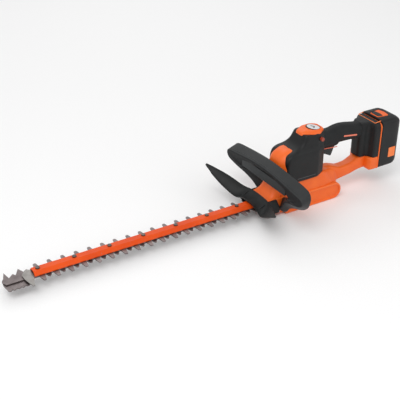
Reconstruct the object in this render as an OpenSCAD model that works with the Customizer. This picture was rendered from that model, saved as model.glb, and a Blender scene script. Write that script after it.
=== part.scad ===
// Cordless hedge trimmer with a two-hand hold, a saw-tipped cutting bar and a
// slide-on battery. Millimetres. The blade points to -X, the battery is at +X,
// and Z = 0 is the flat underside below the crank axis.

/* [Cutting bar] */
// Distance from one long tooth to the next
tooth_pitch = 30; // [28:0.5:31]
// Number of long teeth on each side of the upper blade
long_teeth = 19; // [12:1:19]
// Half width of the blade over the long teeth
long_reach = 31.8; // [28:0.2:33]
// Half width of the blade over the short teeth
short_reach = 21; // [18:0.5:24]
// Thickness of each blade
blade_t = 2.2; // [1.8:0.1:2.2]
// Height of the sliding plane between the two blades
blade_z = 24.85; // [24.85:0.05:25]
// Distance from one bar bolt to the next
bolt_pitch = 79.4; // [78:0.2:79.4]

/* [Drive] */
// Distance each blade moves either side of the middle
throw = 7.5; // [5:0.5:7.5]
// Tooth size of the gears, as pitch diameter over tooth count
gear_module = 1.1; // [1.1:0.1:1.1]
// Teeth on the crank gear
crank_teeth = 50; // [50:10:50]
// Teeth on the motor pinion
pinion_teeth = 10; // [10:1:10]

/* [Body] */
// Half width of the motor covers
body_half = 37; // [35:0.5:38]
// Thickness of the moulded walls
wall = 3; // [2.5:0.1:3]
// Half width of the rear grip
grip_half = 19; // [17:0.5:20]
// Half width of the lower arm
arm_half = 17; // [15:0.5:18]

/* [Battery] */
// Half width of the battery
pack_half = 40; // [38:0.5:41]
// Length of the battery from the dock face to its back
pack_depth = 60; // [56:1:62]
// Height of the battery's underside
pack_z = 46; // [45:1:48]

/* [Hidden] */
$fn = 48;
orange = "#F0692F";
black = "#2B2D2E";
rubber = "#3A3C3D";
steel = "#96898A";
bright = "#C9C9CC";
alloy = "#A9ADB2";
copper = "#B87333";

tip_x = -tooth_pitch * 20;
bolts = 8;
first_bolt = -603.3;
root_half = 12;
bush_r = 4.2;
slot_r = bush_r + 0.2;
bar_z = blade_z + 2.65;
bar_top = bar_z + 9;
yoke_front = -29;
yoke_half = 28;
cam_r = 13;
gear_r = gear_module * crank_teeth / 2;
pinion_r = gear_module * pinion_teeth / 2;
motor_x = gear_r + pinion_r;
gear_z = 38;
gear_t = 7;
case_half = 30.8;
case_in = 28.8;
dock_x = 258;
pack_x = dock_x + 0.3;
button_x = 77;
lock_at = [83, 0, 165];
button_tilt = 8;
button_at = [button_x, 0, 176.5];
trigger_pivot = [102, 141];

// ---- outline helpers ----
function unit(v) = v / norm(v);
function fillet(a, b, c, r, n) = r <= 0 ? [b] :
  let (u = unit(a - b), v = unit(c - b), half = acos(u * v) / 2,
       m = b + unit(u + v) * r / sin(half),
       p = b + u * r / tan(half) - m, q = b + v * r / tan(half) - m,
       start = atan2(p[1], p[0]), turn = (atan2(q[1], q[0]) - start + 540) % 360 - 180)
  [for (i = [0:n]) m + r * [cos(start + turn * i / n), sin(start + turn * i / n)]];
function xy(p) = [p[0], p[1]];
// An outline whose corners are [across, up, corner radius]
function rounded(p, n = 5) = let (k = len(p))
  [for (i = [0:k - 1]) each fillet(xy(p[(i + k - 1) % k]), xy(p[i]), xy(p[(i + 1) % k]), p[i][2], n)];
// The same outline, counter-clockwise, moved inwards by d
function inset(p, d) = let (k = len(p))
  [for (i = [0:k - 1])
    let (b = xy(p[i]), e = unit(b - xy(p[(i + k - 1) % k])), f = unit(xy(p[(i + 1) % k]) - b),
         n1 = [-e[1], e[0]], n2 = [-f[1], f[0]], s = b + d * (n1 + n2) / (1 + n1 * n2))
    [s[0], s[1], e[0] * f[1] - e[1] * f[0] > 0 ? max(p[i][2] - d, 0.5) : p[i][2] + d]];
// Extrudes an outline drawn in X and Z from y0 to y1
module side(p, y0, y1) translate([0, y1, 0]) rotate([90, 0, 0])
  linear_extrude(y1 - y0) polygon(rounded(p));
// Extrudes an outline drawn in X and Y from z0 to z1
module plan(p, z0, z1) translate([0, 0, z0]) linear_extrude(z1 - z0) polygon(rounded(p));
// Extrudes an outline drawn in Y and Z from x0 to x1
module front(p, x0, x1) translate([x0, 0, 0]) rotate([90, 0, 90])
  linear_extrude(x1 - x0) polygon(rounded(p));
module block(x0, x1, y0, y1, z0, z1) translate([x0, y0, z0]) cube([x1 - x0, y1 - y0, z1 - z0]);
module disc(x, y, z0, z1, r) translate([x, y, z0]) cylinder(r = r, h = z1 - z0);
module ring(x, y, z0, z1, r, bore) difference() {
  disc(x, y, z0, z1, r);
  disc(x, y, z0 - 1, z1 + 1, bore);
}
// Keeps one half of the body: 1 is the left, -1 is the right
module half_of(hand) intersection() {
  children();
  translate([-100, hand > 0 ? 0 : -200, -50]) cube([500, 200, 300]);
}
function box_outline(h, z0, z1, low, high) =
  [[-h, z0, low], [h, z0, low], [h, z1, high], [-h, z1, high]];

// ---- body outlines ----
prow = [[-15, -40, 0], [134, -40, 0], [134, 40, 0], [-15, 40, 0], [-42, 16, 18], [-42, -16, 18]];
gear_side = [[-42, 5, 2], [126, 5, 10], [146, 44, 10], [128, 64, 24], [108, 74, 4], [-42, 74, 1]];
gear_front = [[-34, 5, 3], [34, 5, 3], [34, 50, 12], [31, 74, 0], [-31, 74, 0], [-34, 50, 12]];
pod_side = [[-14, 5, 3], [134, 5, 14], [146, 42, 18], [-14, 42, 3]];
shoulder = [[100, 20, 0], [126, 26, 20], [146, 31, 0], [146, 68.5, 2], [134, 73.5, 10], [100, 74, 0]];
arm_side = [[146.3, 31.2, 1], [190, 37.5, 40], [208, 42, 20], [232, 46, 2], [258, 46, 3], [258, 79, 2],
            [222, 79, 6], [206, 67.5, 20], [172, 61.5, 60], [156, 63.8, 12], [146.3, 68.4, 1]];
// The orange skirt under the prow, seen from the side and from the front
apron_side = [[-64, 46.1, 0], [-41, 46.1, 0], [-41, 72, 0], [-43.5, 68, 4], [-50, 57, 14], [-64, 48.5, 1]];
apron_front = [[-34, 46, 0], [34, 46, 0], [30, 52, 4], [19, 68, 4], [17, 73, 1], [-17, 73, 1], [-19, 68, 4],
               [-30, 52, 4]];
// The gear case above the blades, its room in the housing, and its hollow
case_plan = [[46, -case_half, 0], [46, case_half, 0], [-21.6, case_half, 0], [-40.6, 11, 0], [-40.6, -11, 0],
             [-21.6, -case_half, 0]];
room_plan = [[46.2, -31, 0], [46.2, 31, 0], [-21.8, 31, 0], [-40.9, 11.1, 0], [-40.9, -11.1, 0],
             [-21.8, -31, 0]];
case_hollow = [[43.5, -case_in, 0], [43.5, case_in, 0], [-20.6, case_in, 0], [-38.2, 10.3, 0],
               [-38.2, -10.3, 0], [-20.6, -case_in, 0]];
nose_side = [[-42, 74, 0], [-8, 74, 0], [-19, 112, 20], [-16, 132, 12], [2, 149, 0], [-12, 151, 10],
  [-29, 134, 20], [-33, 100, 14]];
nose_front = [[-35, 74, 0], [35, 74, 0], [33, 151.5, 24], [-33, 151.5, 24]];
cover_side = [[-8, 74, 0], [97, 74, 12], [97, 178.5, 10], [39, 179.5, 8], [32, 165, 18], [20, 153, 14],
  [2, 149, 0], [-16, 132, 12], [-19, 112, 20]];
cover_front = [[-body_half, 74, 2], [body_half, 74, 2], [body_half, 150, 40], [24, 188, 14],
               [-24, 188, 14], [-body_half, 150, 40]];
cover_plan = [[-40, -40, 0], [72, -40, 20], [97, -25, 8], [97, 25, 8], [72, 40, 20], [-40, 40, 0]];
grip_side = [[97.2, 131, 2], [120, 127.5, 10], [141, 124.5, 3], [147, 131, 3], [206.8, 129, 2],
             [206.8, 167.5, 2], [158, 177, 50], [124, 168.5, 34], [97.2, 177, 2]];
dock_side = [[209, 79.2, 2], [252, 79.2, 2], [252, 168, 1], [214, 167.5, 5], [209, 165, 4]];
dock_plan = [[210.4, -18.4, 17], [234, -19, 8], [240, -37, 6], [252, -38, 1], [252, 38, 1],
             [240, 37, 6], [234, 19, 8], [210.4, 18.4, 17]];
foot_plan = [[124, -arm_half, 2], [228, -arm_half, 10], [234, -38, 3], [258, -38, 1], [258, 38, 1],
             [234, 38, 3], [228, arm_half, 10], [124, arm_half, 2]];
cap_side = [[36, 179.9, 0.5], [98, 178.9, 0.5], [98, 181, 1], [88, 186, 10], [48, 186, 10], [36, 182, 1]];

// ---- housings ----
module base_cover() color(orange) difference() {
  intersection() {
    side([[-42, 0, 1.5], [122, 0, 1.5], [126, 4.9, 0], [-42, 4.9, 0]], -36, 36);
    plan([[-15, -34, 0], [128, -34, 10], [128, 34, 10], [-15, 34, 0], [-40, 16, 18], [-40, -16, 18]], -1, 6);
  }
  for (x = [-12, 52, 112], y = [-27, 27]) {
    disc(x, y, -1, 6, 1.5);
    disc(x, y, -1, 4.9 - 0.1, 4);
  }
}
module gear_housing() {
  difference() {
    union() {
      intersection() {
        side(gear_side, -40, 40);
        front(gear_front, -50, 150);
        plan([for (p = prow) p[0] > 100 ? [150, p[1], 0] : p], 0, 80);
      }
      side(pod_side, -38, 38);
      side(shoulder, -arm_half, arm_half);
      // full width round the lower gear case, and the skirt above the blades
      intersection() {
        block(-42, 0, -40, 40, 5, 46);
        front(gear_front, -50, 10);
      }
      intersection() {
        side(apron_side, -40, 40);
        front(apron_front, -70, -30);
      }
    }
    // room for the gear case, then the hollow behind it
    block(-41.2, 46.2, -31, 31, 0, 46);
    plan(room_plan, 45, 75);
    side([[46, 0, 0], [121, 0, 4], [126, 42, 6], [112, 62, 8], [46, 62, 0]], -31, 31);
    block(46, 88, -24, 24, 60, 75);
    block(-60, -30, -24, 24, 0, 39);
  }
  for (x = [52, 112], y = [-27, 27]) ring(x, y, 5, 30, 4, 1.4);
}
module left_gear_housing() color(orange) half_of(1) gear_housing();
module right_gear_housing() color(orange) half_of(-1) gear_housing();

module rear_arm() difference() {
  intersection() {
    side(arm_side, -40, 40);
    plan(foot_plan, 0, 100);
  }
  side(inset(arm_side, wall), -arm_half + wall, arm_half - wall);
  // channel for the battery rails
  block(250, 270, -27, 27, 52, 120);
}
module left_rear_arm() color(orange) half_of(1) rear_arm();
module right_rear_arm() color(orange) half_of(-1) rear_arm();

module nose() difference() {
  intersection() {
    side(nose_side, -40, 40);
    front(nose_front, -60, 20);
    plan(prow, 70, 170);
  }
  intersection() {
    side([[-38, 70, 0], [4, 70, 0], [4, 146.6, 0], [-12, 147.6, 8], [-26, 133, 17], [-30, 100, 12]], -32, 32);
    plan([[-14, -32, 0], [134, -32, 0], [134, 32, 0], [-14, 32, 0], [-39, 14, 15], [-39, -14, 15]], 60, 170);
    front([[-31, 70, 0], [31, 70, 0], [29, 148.2, 20], [-29, 148.2, 20]], -60, 20);
  }
}
module left_nose() color(orange) half_of(1) nose();
module right_nose() color(orange) half_of(-1) nose();

module motor_cover() difference() {
  intersection() {
    side(cover_side, -40, 40);
    front(cover_front, -60, 120);
    plan(cover_plan, 70, 200);
  }
  intersection() {
    side([[-30, 70, 0], [94, 70, 0], [94, 175.5, 7], [42, 176.5, 6], [35, 164, 15],
          [21, 150.3, 11], [2, 146, 0],
          [-30, 146, 0]], -40, 40);
    front([[-body_half + wall, 60, 0], [body_half - wall, 60, 0], [body_half - wall, 149, 37],
           [22.5, 185, 11], [-22.5, 185, 11], [-body_half + wall, 149, 37]], -60, 120);
    plan([[-60, -37, 0], [71, -37, 17], [94, -23, 5], [94, 23, 5], [71, 37, 17], [-60, 37, 0]], 60, 200);
  }
  // opening into the grip, cooling slots, the lock-off hole and the button well
  block(90, 110, -14, 14, 140, 170);
  for (y = [-16:8:16]) block(10, 60, y - 1.2, y + 1.2, 157, 173);
  translate(lock_at) rotate([90, 0, 0]) cylinder(r = 4.8, h = 100, center = true);
  translate(button_at) rotate([0, button_tilt, 0]) cylinder(r = 17.5, h = 40, center = true);
}
module left_motor_cover() color(black) half_of(1) motor_cover();
module right_motor_cover() color(black) half_of(-1) motor_cover();

module top_cap() color(orange) difference() {
  intersection() {
    side(cap_side, -30, 30);
    front([[-25, 177, 0], [25, 177, 0], [25, 181, 1], [15, 186.1, 6], [-15, 186.1, 6],
          [-25, 181, 1]], 20, 120);
    plan([[36, -14, 6], [49, -25, 10], [88, -25, 10], [98, -14, 6], [98, 14, 6], [88, 25, 10],
          [49, 25, 10], [36, 14, 6]], 170, 200);
  }
  translate(button_at) rotate([0, button_tilt, 0]) cylinder(r = 17.2, h = 40, center = true);
}
module at_button() translate(button_at) rotate([0, button_tilt, 0]) children();
module button_bezel() color(black) at_button() difference() {
  cylinder(r = 17, h = 9);
  translate([0, 0, 2]) cylinder(r = 15.3, h = 10);
  translate([0, 0, -1]) cylinder(r = 4.4, h = 10);
}
module boost_button() color(bright) at_button() union() {
  translate([0, 0, 5.2]) cylinder(r = 15, h = 4.3);
  translate([0, 0, -2]) cylinder(r = 4, h = 8);
}
// A helical spring along +Z
module coil(r, wire, turns, height) {
  sides = 6;
  steps = turns * 10;
  ringpoint = function (i, j) let (a = 360 * turns * i / steps, b = 360 * j / sides)
    [(r + wire * cos(b)) * cos(a), (r + wire * cos(b)) * sin(a), wire + (height - 2 * wire) * i / steps
     + wire * sin(b)];
  polyhedron(
    points = [for (i = [0:steps], j = [0:sides - 1]) ringpoint(i, j)],
    faces = concat([[for (j = [0:sides - 1]) j]],
      [[for (j = [sides - 1:-1:0]) steps * sides + j]],
      [for (i = [0:steps - 1], j = [0:sides - 1]) let (a = i * sides + j, b = i * sides + (j + 1) % sides)
        each [[a, a + sides, b + sides], [a, b + sides, b]]]));
}
module boost_spring() color(bright) at_button() translate([0, 0, 2.1]) coil(8, 0.3, 2, 3);

// ---- rear grip, dock and terminals ----
module grip() difference() {
  intersection() {
    side(grip_side, -30, 30);
    front(box_outline(grip_half, 124, 180, 15, 16), 90, 210);
  }
  intersection() {
    side([[90, 134.5, 0], [141, 129, 0], [150, 134.3, 6], [210, 132.2, 0], [210, 164.3, 0], [158, 173.8, 47],
          [124, 165.3, 37], [90, 176, 0]], -30, 30);
    front(box_outline(grip_half - wall, 128, 177, 12, 13), 80, 220);
  }
  block(90, 144.5, -8.7, 8.7, 120, 145);
  for (y = [-1, 1]) side([[156.8, 148, 1.5], [197.8, 141.9, 1.5], [197.8, 146.1, 1.5], [156.8, 152.2, 1.5]],
                         y > 0 ? grip_half - 1.2 : -grip_half - 1, y > 0 ? grip_half + 1 : -grip_half + 1.2);
}
module left_grip() color(rubber) half_of(1) grip();
module right_grip() color(rubber) half_of(-1) grip();
module grip_inlays() color(orange) for (y = [-1, 1])
  side([[157, 148.2, 1.3], [197.6, 142.1, 1.3], [197.6, 145.9, 1.3], [157, 152, 1.3]],
       y > 0 ? grip_half - 1.2 : -grip_half - 0.2, y > 0 ? grip_half + 0.2 : -grip_half + 1.2);

module battery_dock() color(black) difference() {
  union() {
    intersection() {
      side(dock_side, -40, 40);
      plan(dock_plan, 70, 190);
      front([[-38, 79.2, 2], [38, 79.2, 2], [38, 158, 12], [28.5, 168.2, 2], [-28.5, 168.2, 2],
            [-38, 158, 12]],
            200, 260);
    }
    // the collar that carries the grip
    intersection() {
      block(206.9, 222, -30, 30, 129, 167.4);
      front(box_outline(grip_half, 124, 180, 15, 16), 200, 230);
    }
  }
  side([[200, 133, 0], [214, 133, 0], [246, 110, 0], [246, 158, 4], [214, 163.5, 4],
        [200, 163.5, 0]], -14, 14);
  // channel for the battery rails, open at the top
  block(249, 262, -27, 27, 70, 200);
  block(246, 250, -20, 20, 120, 160);
}
module dock_frame() color(orange) difference() {
  intersection() {
    side([[252.1, 79.2, 0], [258, 79.2, 0], [258, 172, 1], [252.1, 171, 2]], -40, 40);
    front([[-39, 79.2, 0], [39, 79.2, 0], [39, 158, 12], [29, 172, 4], [-29, 172, 4],
          [-39, 158, 12]], 250, 260);
  }
  block(250, 262, -27, 27, 70, 200);
}
module dock_terminals() color(copper) for (y = [-12, -4, 4, 12])
  block(246.2, 254, y - 0.8, y + 0.8, 66, 76);

// ---- front handle and its switch ----
bar_outline = [[-147, 91, 2], [-118, 91, 2], [-108, 98, 8], [0, 101, 200], [108, 98, 8], [118, 91, 2],
  [147, 91, 2], [141, 110, 12], [80, 123, 60], [0, 130, 200], [-80, 123, 60], [-141, 110, 12]];
module front_handle_bar() color(black) difference() {
  intersection() {
    front(bar_outline, -62, -34);
    side([[-62, 80, 0], [-34, 80, 0], [-34, 131, 3], [-62, 117.5, 3]], -160, 160);
  }
  block(-58, -38, -86, 86, 90, 112);
}
module handle_leg(hand) {
  p = [[34.2, 8, 2], [46, 8, 8], [60, 30, 20], [117, 52, 26], [143, 72, 20], [147, 90.9, 1], [118, 90.9, 1],
       [108, 78, 16], [92, 66, 20], [58, 54, 10], [34.2, 50, 2]];
  // a web stiffens the back of each corner of the loop
  y = hand > 0 ? 70 : -100;
  front([[y, 62, 0], [y + 30, 62, 0], [y + 30, 90.9, 0], [y, 90.9, 0]], -38, -32);
  difference() {
    front(hand > 0 ? p : [for (i = [len(p) - 1:-1:0]) [-p[i][0], p[i][1], p[i][2]]], -62, -14);
    // the leg narrows to the width of the bar above the collar
    block(-34, 0, hand > 0 ? 60 : -160, hand > 0 ? 160 : -60, 0, 100);
    block(-80, -43, hand > 0 ? 30 : -46, hand > 0 ? 46 : -30, 0, 36);
    disc(-25, hand * 44, 0, 40, 1.6);
  }
}
module left_handle_leg() color(black) handle_leg(1);
module right_handle_leg() color(black) handle_leg(-1);
module front_switch() color(black)
  front([[-85.5, 84, 3], [85.5, 84, 3], [85.5, 105, 1], [-85.5, 105, 1]], -57.5, -40.5);
module switch_springs() color(bright) for (y = [-60, 60])
  translate([-48, y, 105.1]) coil(4, 0.4, 4, 6.8);

// ---- hand guard ----
// One station of a wing: a thin leaning strip at distance y from the middle
module wing_strip(y, top, foot) side([[foot[0], foot[1] - 3, 0], [foot[0], foot[1], 0], [top[0], top[1], 0],
  [top[0], top[1] - 3, 0]], y - 0.5, y + 0.5);
module wing(hand) mirror([0, hand > 0 ? 0 : 1, 0]) union() {
  hull() { wing_strip(34.7, [-65.5, 47], [-97, 35]); wing_strip(60, [-78, 53], [-102, 35]); }
  hull() { wing_strip(60, [-78, 53], [-102, 35]); wing_strip(100, [-99, 70], [-118, 56]); }
  hull() { wing_strip(100, [-99, 70], [-118, 56]); wing_strip(141, [-121, 80], [-124, 78]); }
}
module left_guard() color(black) wing(1);
module right_guard() color(black) wing(-1);
module guard_bridge() color(black) difference() {
  side([[-99, 39.6, 0], [-84, 22, 6], [-66, 12, 3], [-42.2, 12, 0], [-42.2, 46, 0], [-66, 46, 3],
        [-99, 42.5, 0]],
       -34.1, 34.1);
  block(-120, -40, -32.5, 32.5, 0, 39.6);
}

// ---- cutting bar ----
function mirror_y(p) = [for (i = [len(p) - 1:-1:0]) [p[i][0], -p[i][1]]];
function tooth(x, reach, root, tip) = [[x - root / 2, -root_half], [x - tip / 2, 2 - reach],
  [x - tip / 2 + 1.5, -reach], [x + tip / 2 - 1.5, -reach], [x + tip / 2, 2 - reach], [x + root / 2, -root_half]];
function teeth(start, count, reach, root, tip) =
  [for (i = [0:count - 1]) each tooth(start + i * tooth_pitch, reach, root, tip)];
yoke = [[yoke_front, -root_half], [yoke_front, -yoke_half], [22, -yoke_half]];
module bolt_slots() for (i = [0:bolts - 1]) translate([first_bolt + i * bolt_pitch, 0, 0]) {
  block(-throw - 0.8, throw + 0.8, -slot_r, slot_r, 0, 60);
  for (x = [-1, 1]) disc(x * (throw + 0.8), 0, 0, 60, slot_r);
}
module cam_slot() block(-cam_r - 2, cam_r + 2, -cam_r - throw - 0.7, cam_r + throw + 0.7, 0, 60);
module blade(outline, z) difference() {
  translate([0, 0, z]) linear_extrude(blade_t) polygon(outline);
  bolt_slots();
  cam_slot();
}
module upper_blade() color(steel) blade(concat(
  [[-678, 2], [-673, -11], [tip_x - 8, -11]],
  teeth(tip_x, long_teeth, long_reach, 13, 7), yoke,
  mirror_y(concat(teeth(tip_x, long_teeth, long_reach, 13, 7), yoke)),
  [[-612, 12], [-620, 18], [-627, 12], [-635, 31], [-646, 12], [-650, 19], [-661, 9], [-665, 31], [-672, 12],
   [-677, 5]]), blade_z + 0.15);
module lower_blade() color(steel) blade(concat(
  [[-676, 6], [-678, -6], [-675, -28]],
  [for (i = [0:4]) each [[-672 + i * 9, -31], [-666 + i * 9, -27.5]]],
  [[-628, -27], [-620, -12]],
  teeth(tip_x + tooth_pitch / 2, long_teeth - 1, short_reach, 12, 5), yoke,
  mirror_y(concat(teeth(tip_x + tooth_pitch / 2, long_teeth - 1, short_reach, 12, 5), yoke)),
  [[-610, 9]]), blade_z - 0.15 - blade_t);
module blade_bar() color(orange) difference() {
  front([[-14, bar_z, 0.4], [14, bar_z, 0.4], [14, bar_z + 2, 0.6], [7.5, bar_top, 0.8], [-7.5, bar_top, 0.8],
         [-14, bar_z + 2, 0.6]], -615, -36);
  front([[-11.8, bar_z - 1, 0], [11.8, bar_z - 1, 0], [11.8, bar_z + 2, 0.4], [6.5, bar_top - 2.2, 0.4],
         [-6.5, bar_top - 2.2, 0.4], [-11.8, bar_z + 2, 0.4]], -620, -30);
  for (i = [0:bolts - 1]) disc(first_bolt + i * bolt_pitch, 0, 30, 50, 2.7);
}
module tip_guard() color(steel) difference() {
  translate([0, 0, bar_z]) linear_extrude(2) polygon([[-637, 1], [-636, -14], [-633, -30], [-629, -42],
    [-625, -41.5], [-621, -28], [-616, -12], [-612, -10], [-592, -10], [-592, 10], [-612, 10], [-617, 13],
    [-622, 18], [-628, 14]]);
  disc(first_bolt, 0, 0, 60, 4.3);
}
module bar_bolts() color(bright) for (i = [0:bolts - 1]) translate([first_bolt + i * bolt_pitch, 0, 0]) {
  disc(0, 0, 15.8, bar_top, 2.5);
  disc(0, 0, bar_top, bar_top + 2.4, 4.6);
  translate([0, 0, 16.2]) cylinder(r = 4.4, h = 4.2, $fn = 6);
}
module bar_bushes() color(bright) for (i = [0:bolts - 1]) {
  ring(first_bolt + i * bolt_pitch, 0, 22.2, bar_top - 2.2, bush_r, 2.55);
  ring(first_bolt + i * bolt_pitch, 0, 20.4, 22.2, 7.5, 2.55);
}

// ---- gear case and drive ----
module wear_plate() color(steel) difference() {
  block(-38, 30, -27.5, 27.5, 19.4, 22.2);
  disc(0, 0, 0, 40, 11.5);
  disc(-47.5, 0, 0, 40, 8);
}
module lower_gear_case() color(alloy) difference() {
  block(-41, 46, -case_half, case_half, 5, 33.9);
  difference() {
    block(-38.5, 43.5, -case_in, case_in, 11, 34);
    disc(0, 0, 0, 17, 14);
    for (y = [-1, 1]) block(-40, 44, y > 0 ? 24 : -29, y > 0 ? 29 : -24, 0, 19.3);
  }
  disc(0, 0, 9.9, 18, 11);
  block(-50, -38, -14.6, 14.6, 21.9, 40);
  // pocket for the bush of the last bar bolt
  disc(first_bolt + (bolts - 1) * bolt_pitch, 0, 20.2, 30, 7.7);
  for (y = [-27, 27]) disc(-12, y, 0, 21, 1.4);
}
module upper_gear_case() color(alloy) difference() {
  plan(case_plan, 34, 58);
  difference() {
    plan(case_hollow, 30, 53);
    disc(0, 0, 48, 60, 14);
  }
  disc(0, 0, 40, 57.1, 11);
  disc(motor_x, 0, 40, 60, 8);
  block(-50, -38, -14.6, 14.6, 30, 37.5);
}
module crank_shaft() color(bright) union() {
  disc(0, 0, 10, 17.2, 4);
  disc(0, 0, 17.2, 49.8, 5);
  disc(0, 0, 49.8, 57, 4);
}
module crank_bearings() color(bright) for (z = [10, 50]) ring(0, 0, z, z + 7, 11, 4.03);
module lower_cam() color(bright) difference() {
  disc(0, -throw, blade_z - 0.15 - blade_t, blade_z - 0.15, cam_r);
  disc(0, 0, 0, 60, 5);
}
module upper_cam() color(bright) difference() {
  union() {
    disc(0, throw, blade_z + 0.15, blade_z + 0.15 + blade_t, cam_r);
    disc(0, 0, blade_z + 0.15 + blade_t, gear_z, 9);
  }
  disc(0, 0, 0, 60, 5);
}

// An involute gear outline: pressure is the pressure angle, thin is taken off each tooth
pressure = 25;
thin = 0.12;
function involute(base, r) = let (c = acos(min(1, base / r))) tan(c) * 180 / PI - c;
function gear_outline(n, add, ded) = let (
  r = gear_module * n / 2, base = r * cos(pressure), tip = r + add, foot = r - ded,
  half = 90 / n - thin / r * 90 / PI + involute(base, r), low = max(base, foot))
  [for (i = [0:n - 1]) each concat(
    [[foot, 360 * i / n - half], [low, 360 * i / n - half]],
    [for (k = [1:3]) let (q = low + (tip - low) * k / 3) [q, 360 * i / n - half + involute(base, q)]],
    [for (k = [3:-1:1]) let (q = low + (tip - low) * k / 3) [q, 360 * i / n + half - involute(base, q)]],
    [[low, 360 * i / n + half], [foot, 360 * i / n + half]])];
module gear(n, add, ded, turn) rotate(turn)
  polygon([for (p = gear_outline(n, add, ded)) p[0] * [cos(p[1]), sin(p[1])]]);
module crank_gear() color(steel) difference() {
  translate([0, 0, gear_z]) linear_extrude(gear_t) gear(crank_teeth, 0.7, 1.3, 0);
  disc(0, 0, 0, 60, 5);
  for (a = [0:60:300]) rotate(a + 30) disc(16, 0, 0, 60, 5);
}
module pinion() color(steel) translate([motor_x, 0, gear_z - 0.4]) difference() {
  linear_extrude(gear_t + 0.8) gear(pinion_teeth, 0.9, 1.1, 180 / pinion_teeth);
  translate([0, 0, -1]) cylinder(r = 2.5, h = 20);
}

// ---- motor ----
module motor_can() color(steel) difference() {
  disc(motor_x, 0, 58, 134, 23);
  disc(motor_x, 0, 60, 132, 21.5);
  disc(motor_x, 0, 50, 140, 6);
}
module motor_magnets() color("#4A4A50") difference() {
  ring(motor_x, 0, 76, 112, 21.4, 18.2);
  block(motor_x - 4, motor_x + 4, -30, 30, 70, 120);
}
module motor_bearings() color(bright) for (z = [60.2, 124.8]) ring(motor_x, 0, z, z + 7, 8, 2.55);
module motor_brushes() color("#303030") for (y = [-1, 1])
  translate([motor_x, y * 12.4, 118]) cube([5, 9.6, 6], center = true);
module motor_shaft() color(bright) disc(motor_x, 0, 36, 152, 2.5);
module armature() color(copper) union() {
  difference() {
    disc(motor_x, 0, 76, 110, 17.5);
    disc(motor_x, 0, 70, 130, 2.5);
    for (i = [0:6]) translate([motor_x, 0, 70]) rotate(i * 360 / 7) block(14, 20, -1.5, 1.5, 0, 50);
  }
  ring(motor_x, 0, 110, 123, 7.2, 2.5);
}
module cooling_fan() color(black) union() {
  ring(motor_x, 0, 138, 140, 21, 2.5);
  ring(motor_x, 0, 140, 148, 5, 2.5);
  for (i = [0:8]) translate([motor_x, 0, 140]) rotate(i * 40) block(4, 20, -0.8, 0.8, -1, 7);
}

// ---- controls ----
module control_board() color("#1E5A35") difference() {
  block(64, 66, -28, 28, 84, 146);
  for (y = [-22, 22], z = [90, 140]) translate([60, y, z]) rotate([0, 90, 0]) cylinder(r = 1.6, h = 10);
}
module grip_switch() color("#22262B") union() {
  block(112, 146, -7, 7, 150, 164.5);
  block(116, 120, -3, 3, 143.4, 150);
}
trigger_side = [[97.5, 137, 3], [100, 126, 3], [109, 112, 3], [131, 101, 3], [142, 130, 3], [143, 136, 2],
                [120, 138, 3], [106, 146, 4], [98, 146, 4]];
module trigger() color(black) difference() {
  side(trigger_side, -8, 8);
  translate([trigger_pivot[0], 0, trigger_pivot[1]]) rotate([90, 0, 0]) cylinder(r = 2.05, h = 40, center = true);
}
module trigger_pin() color(bright) translate([trigger_pivot[0], 0, trigger_pivot[1]]) rotate([90, 0, 0])
  cylinder(r = 2, h = 31, center = true);
module lock_off() color(orange) translate(lock_at) rotate([90, 0, 0])
  cylinder(r = 4.4, h = 66, center = true);
module housing_screws() color(bright) {
  for (x = [-12, 52, 112], y = [-27, 27]) {
    disc(x, y, 2.4, 4.8, 3.8);
    disc(x, y, 4.8, 19.2, 1.4);
  }
}

// ---- battery ----
pack_side = [[pack_x, pack_z, 3], [pack_x + pack_depth, pack_z, 14], [pack_x + pack_depth, 158, 6],
             [pack_x + pack_depth - 8, 168, 14], [pack_x + 23.7, 174, 50], [pack_x, 168, 3]];
pack_front = [[-pack_half, pack_z, 8], [pack_half, pack_z, 8], [pack_half, 152, 16], [31, 170, 10], [12, 174, 20],
              [-12, 174, 20], [-31, 170, 10], [-pack_half, 152, 16]];
module battery_case() color(black) difference() {
  union() {
    intersection() {
      side(pack_side, -50, 50);
      front(pack_front, 250, 330);
      plan([[pack_x, -pack_half, 2], [pack_x + pack_depth, -pack_half, 12], [pack_x + pack_depth, pack_half, 12],
            [pack_x, pack_half, 2]], 40, 200);
    }
    for (y = [-1, 1]) block(250, pack_x + 1, y > 0 ? 20 : -26, y > 0 ? 26 : -20, 56, 150);
  }
  side([[pack_x + 4, pack_z + 4, 0], [pack_x + pack_depth - 4, pack_z + 4, 12],
        [pack_x + pack_depth - 4, 154, 6], [pack_x + 4, 158, 0]], -34, 34);
  block(262, 297.6, -17.4, 17.4, 161.2, 200);
  block(pack_x - 1, pack_x + 6, -14, 14, 62, 80);
}
module battery_cells() color("#3E6E9E") for (i = [0:1], j = [0:4])
  translate([pack_x + 15.2 + i * 19, -32.5, 63 + j * 18.6]) rotate([-90, 0, 0]) cylinder(r = 9, h = 65);
module battery_terminals() color(copper) for (y = [-12, -4, 4, 12])
  block(254.4, pack_x + 5.8, y - 2, y + 2, 63, 79);
module battery_latch() color(orange)
  side([[262.5, 167.2, 0.5], [297, 167.2, 0.5], [297, 170.8, 1], [281, 174.2, 20],
        [262.5, 171.6, 1]], -17, 17);
module latch_spring() color(bright) translate([279, 0, 161.25]) coil(6, 0.4, 3, 5.8);

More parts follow.
